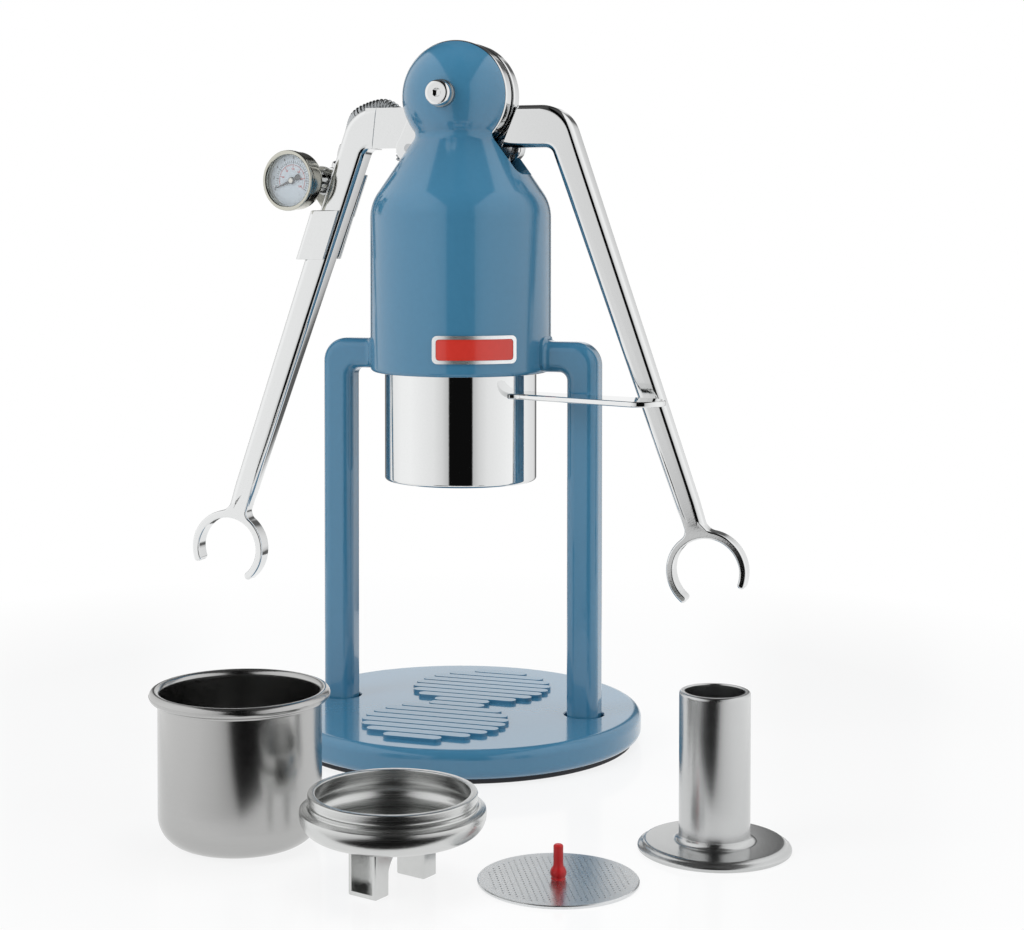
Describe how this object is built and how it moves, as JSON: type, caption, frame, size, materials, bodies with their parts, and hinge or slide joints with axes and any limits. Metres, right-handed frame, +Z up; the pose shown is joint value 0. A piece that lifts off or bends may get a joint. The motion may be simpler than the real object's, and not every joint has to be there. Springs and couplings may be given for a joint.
{
  "type": "manual lever espresso maker",
  "caption": "Manual lever espresso maker: a painted bell on legs over a round base, two lever arms, a portafilter and an arm gauge, with basket, spout, screen and tamper.",
  "frame": {"origin": "centre of the underside of the rubber ring under the base plate, on the ground", "axes": "+Z up, the front faces -Y, +X to the viewer's right"},
  "size_m": [0.2942, 0.3074, 0.3083],
  "materials": {
    "blue_paint": "gloss",
    "black_rubber": "matte",
    "steel": "satin",
    "polished_metal": "polished",
    "satin_aluminium": "satin",
    "brass": "machined",
    "red_enamel": "gloss",
    "red_silicone": "satin",
    "clear_glass": "clear",
    "dial_face": "matte",
    "black_paint": "satin"
  },
  "bodies": {
    "frame": {"base_plate": "blue_paint", "base_foot_ring": "black_rubber", "leg_screws": "steel", "left_leg": "blue_paint", "right_leg": "blue_paint", "bell_casting": "blue_paint", "group_ring": "steel", "rod_guide_bush": "brass", "axle_shaft": "steel", "axle_cap_nuts": "polished_metal", "axle_washers": "steel", "axle_spacer": "steel", "badge_border": "polished_metal", "badge_plate": "red_enamel"},
    "left_lever": {"left_arm": "polished_metal", "left_arm_bush": "brass", "left_crank_pin": "steel", "gauge_clip": "polished_metal", "gauge_case": "polished_metal", "gauge_bezel": "polished_metal", "gauge_glass": "clear_glass", "gauge_dial": "dial_face", "gauge_zero_peg": "steel", "gauge_bourdon_tube": "brass", "gauge_movement": "brass", "gauge_stem": "polished_metal", "gauge_elbow": "polished_metal", "hose_ferrule": "polished_metal", "gauge_hose": "steel"},
    "needle": {"gauge_needle": "black_paint", "needle_cap": "brass"},
    "right_lever": {"right_arm": "polished_metal", "right_arm_bush": "brass", "right_crank_pin": "steel"},
    "left_link": {"left_link": "steel", "left_link_pin": "steel"},
    "right_link": {"right_link": "steel", "right_link_pin": "steel"},
    "piston": {"crosshead": "steel", "piston_rod": "polished_metal", "rod_lock_nut": "steel", "piston_head": "satin_aluminium", "piston_seal": "red_silicone", "piston_screw": "steel"},
    "portafilter": {"portafilter_cup": "polished_metal", "portafilter_handle": "polished_metal"},
    "basket": {"basket": "steel"},
    "spout": {"spout_bowl": "polished_metal"},
    "screen": {"dispersion_screen": "steel", "screen_knob": "red_silicone"},
    "tamper": {"tamper_base": "satin_aluminium", "tamper_stem": "satin_aluminium"}
  },
  "joints": [
    {"name": "right_lever_lift", "type": "hinge", "parent": "frame", "child": "right_lever", "pos_m": [0, 0, 0.284], "axis": [0, -1, 0], "range_deg": [0, 90]},
    {"name": "left_lever_lift", "type": "hinge", "parent": "frame", "child": "left_lever", "pos_m": [0, 0, 0.284], "axis": [0, -1, 0], "range_deg": [-90, 0]},
    {"name": "right_link_swing", "type": "hinge", "parent": "right_lever", "child": "right_link", "pos_m": [0.02114, 0, 0.26133], "axis": [0, -1, 0], "range_deg": [-90, 0]},
    {"name": "left_link_swing", "type": "hinge", "parent": "left_lever", "child": "left_link", "pos_m": [-0.02114, 0, 0.26133], "axis": [0, -1, 0], "range_deg": [0, 90]},
    {"name": "piston_slide", "type": "slide", "parent": "frame", "child": "piston", "axis": [0, 0, 1], "range_m": [0, 0.0439]},
    {"name": "portafilter_twist", "type": "hinge", "parent": "frame", "child": "portafilter", "pos_m": [0, 0, 0.15], "axis": [0, 0, 1], "range_deg": [-55, 0]},
    {"name": "needle_turn", "type": "hinge", "parent": "left_lever", "child": "needle", "pos_m": [-0.0748, -0.02, 0.2473], "axis": [-0.225, -0.9744, 0], "range_deg": [-233, 0], "stiffness_Nm_per_rad": 0.0001, "springref_deg": 11.46},
    {"name": "basket_lift", "type": "slide", "parent": "frame", "child": "basket", "axis": [0, 0, 1], "range_m": [0, 0.1]},
    {"name": "spout_lift", "type": "slide", "parent": "frame", "child": "spout", "axis": [0, 0, 1], "range_m": [0, 0.1]},
    {"name": "screen_lift", "type": "slide", "parent": "frame", "child": "screen", "axis": [0, 0, 1], "range_m": [0, 0.1]},
    {"name": "tamper_lift", "type": "slide", "parent": "frame", "child": "tamper", "axis": [0, 0, 1], "range_m": [0, 0.1]}
  ],
  "couplings": [
    {"joint": "left_lever_lift", "follows": "right_lever_lift", "ratio": -1},
    {"joint": "right_link_swing", "follows": "right_lever_lift", "ratio": -1},
    {"joint": "left_link_swing", "follows": "right_lever_lift", "ratio": 1},
    {"joint": "piston_slide", "follows": "right_lever_lift", "m_per_rad": 0.0279}
  ]
}
